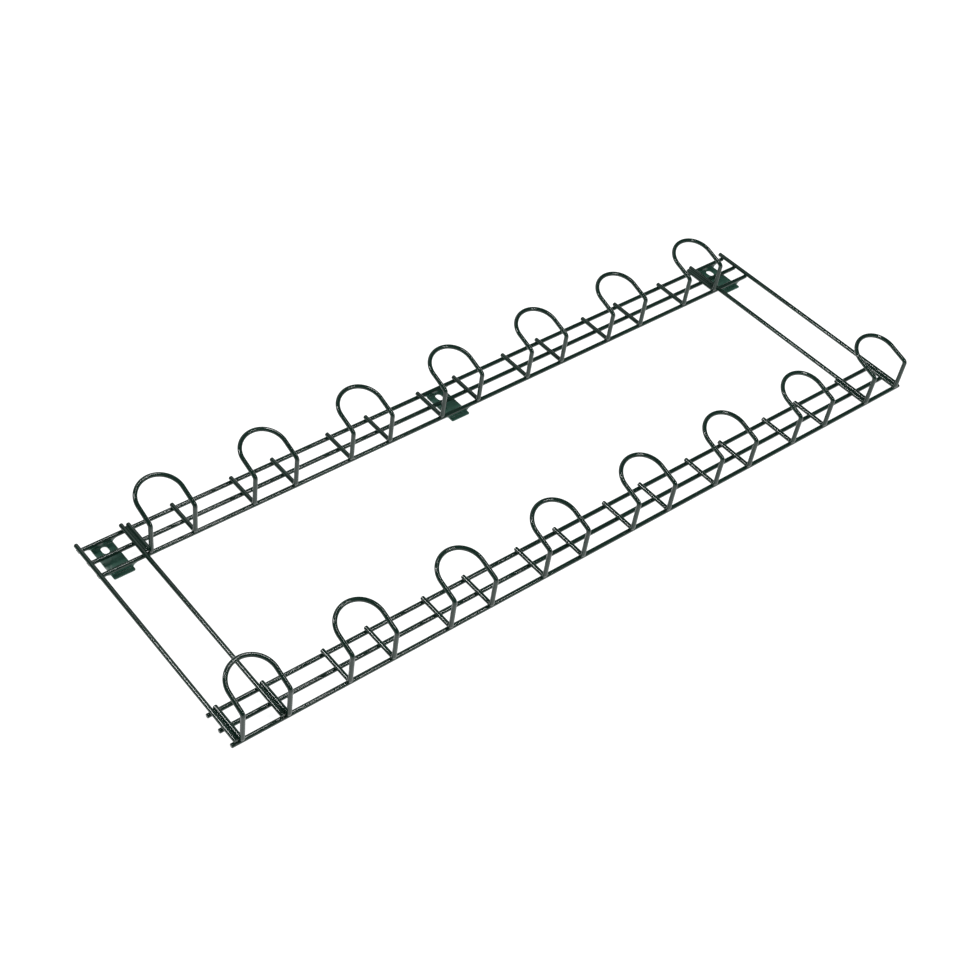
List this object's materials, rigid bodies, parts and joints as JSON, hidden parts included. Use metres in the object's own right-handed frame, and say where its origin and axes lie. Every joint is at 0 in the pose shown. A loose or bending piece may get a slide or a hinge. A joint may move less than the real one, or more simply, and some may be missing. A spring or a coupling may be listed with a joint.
{
  "type": "wire hook rack",
  "caption": "Wall-mounted welded wire rack with two rows of upturned U-shaped hooks and slotted brackets.",
  "frame": {"origin": "middle of the rack's outline, on the wall plane that the brackets' backs lie on", "axes": "+X along the rails, +Y up the wall from the lower rail to the upper rail, +Z out from the wall"},
  "size_m": [1.088, 0.3662, 0.0849],
  "materials": {
    "wire_coating": "glossy dark green plastic coating on steel wire",
    "sheet_coating": "glossy dark green coating on sheet steel"
  },
  "bodies": {
    "root": {"lower_rail_wire_front": "wire_coating", "lower_rail_wire_middle": "wire_coating", "lower_rail_wire_back": "wire_coating", "upper_rail_wire_front": "wire_coating", "upper_rail_wire_middle": "wire_coating", "upper_rail_wire_back": "wire_coating", "cross_wire_outer_left": "wire_coating", "cross_wire_inner_left": "wire_coating", "cross_wire_inner_right": "wire_coating", "cross_wire_outer_right": "wire_coating", "lower_hook_1": "wire_coating", "lower_hook_2": "wire_coating", "lower_hook_3": "wire_coating", "lower_hook_4": "wire_coating", "lower_hook_5": "wire_coating", "lower_hook_6": "wire_coating", "lower_hook_7": "wire_coating", "lower_hook_8": "wire_coating", "upper_hook_1": "wire_coating", "upper_hook_2": "wire_coating", "upper_hook_3": "wire_coating", "upper_hook_4": "wire_coating", "upper_hook_5": "wire_coating", "upper_hook_6": "wire_coating", "upper_hook_7": "wire_coating", "wall_bracket_left": "sheet_coating", "wall_bracket_middle": "sheet_coating", "wall_bracket_right": "sheet_coating"}
  },
  "joints": []
}
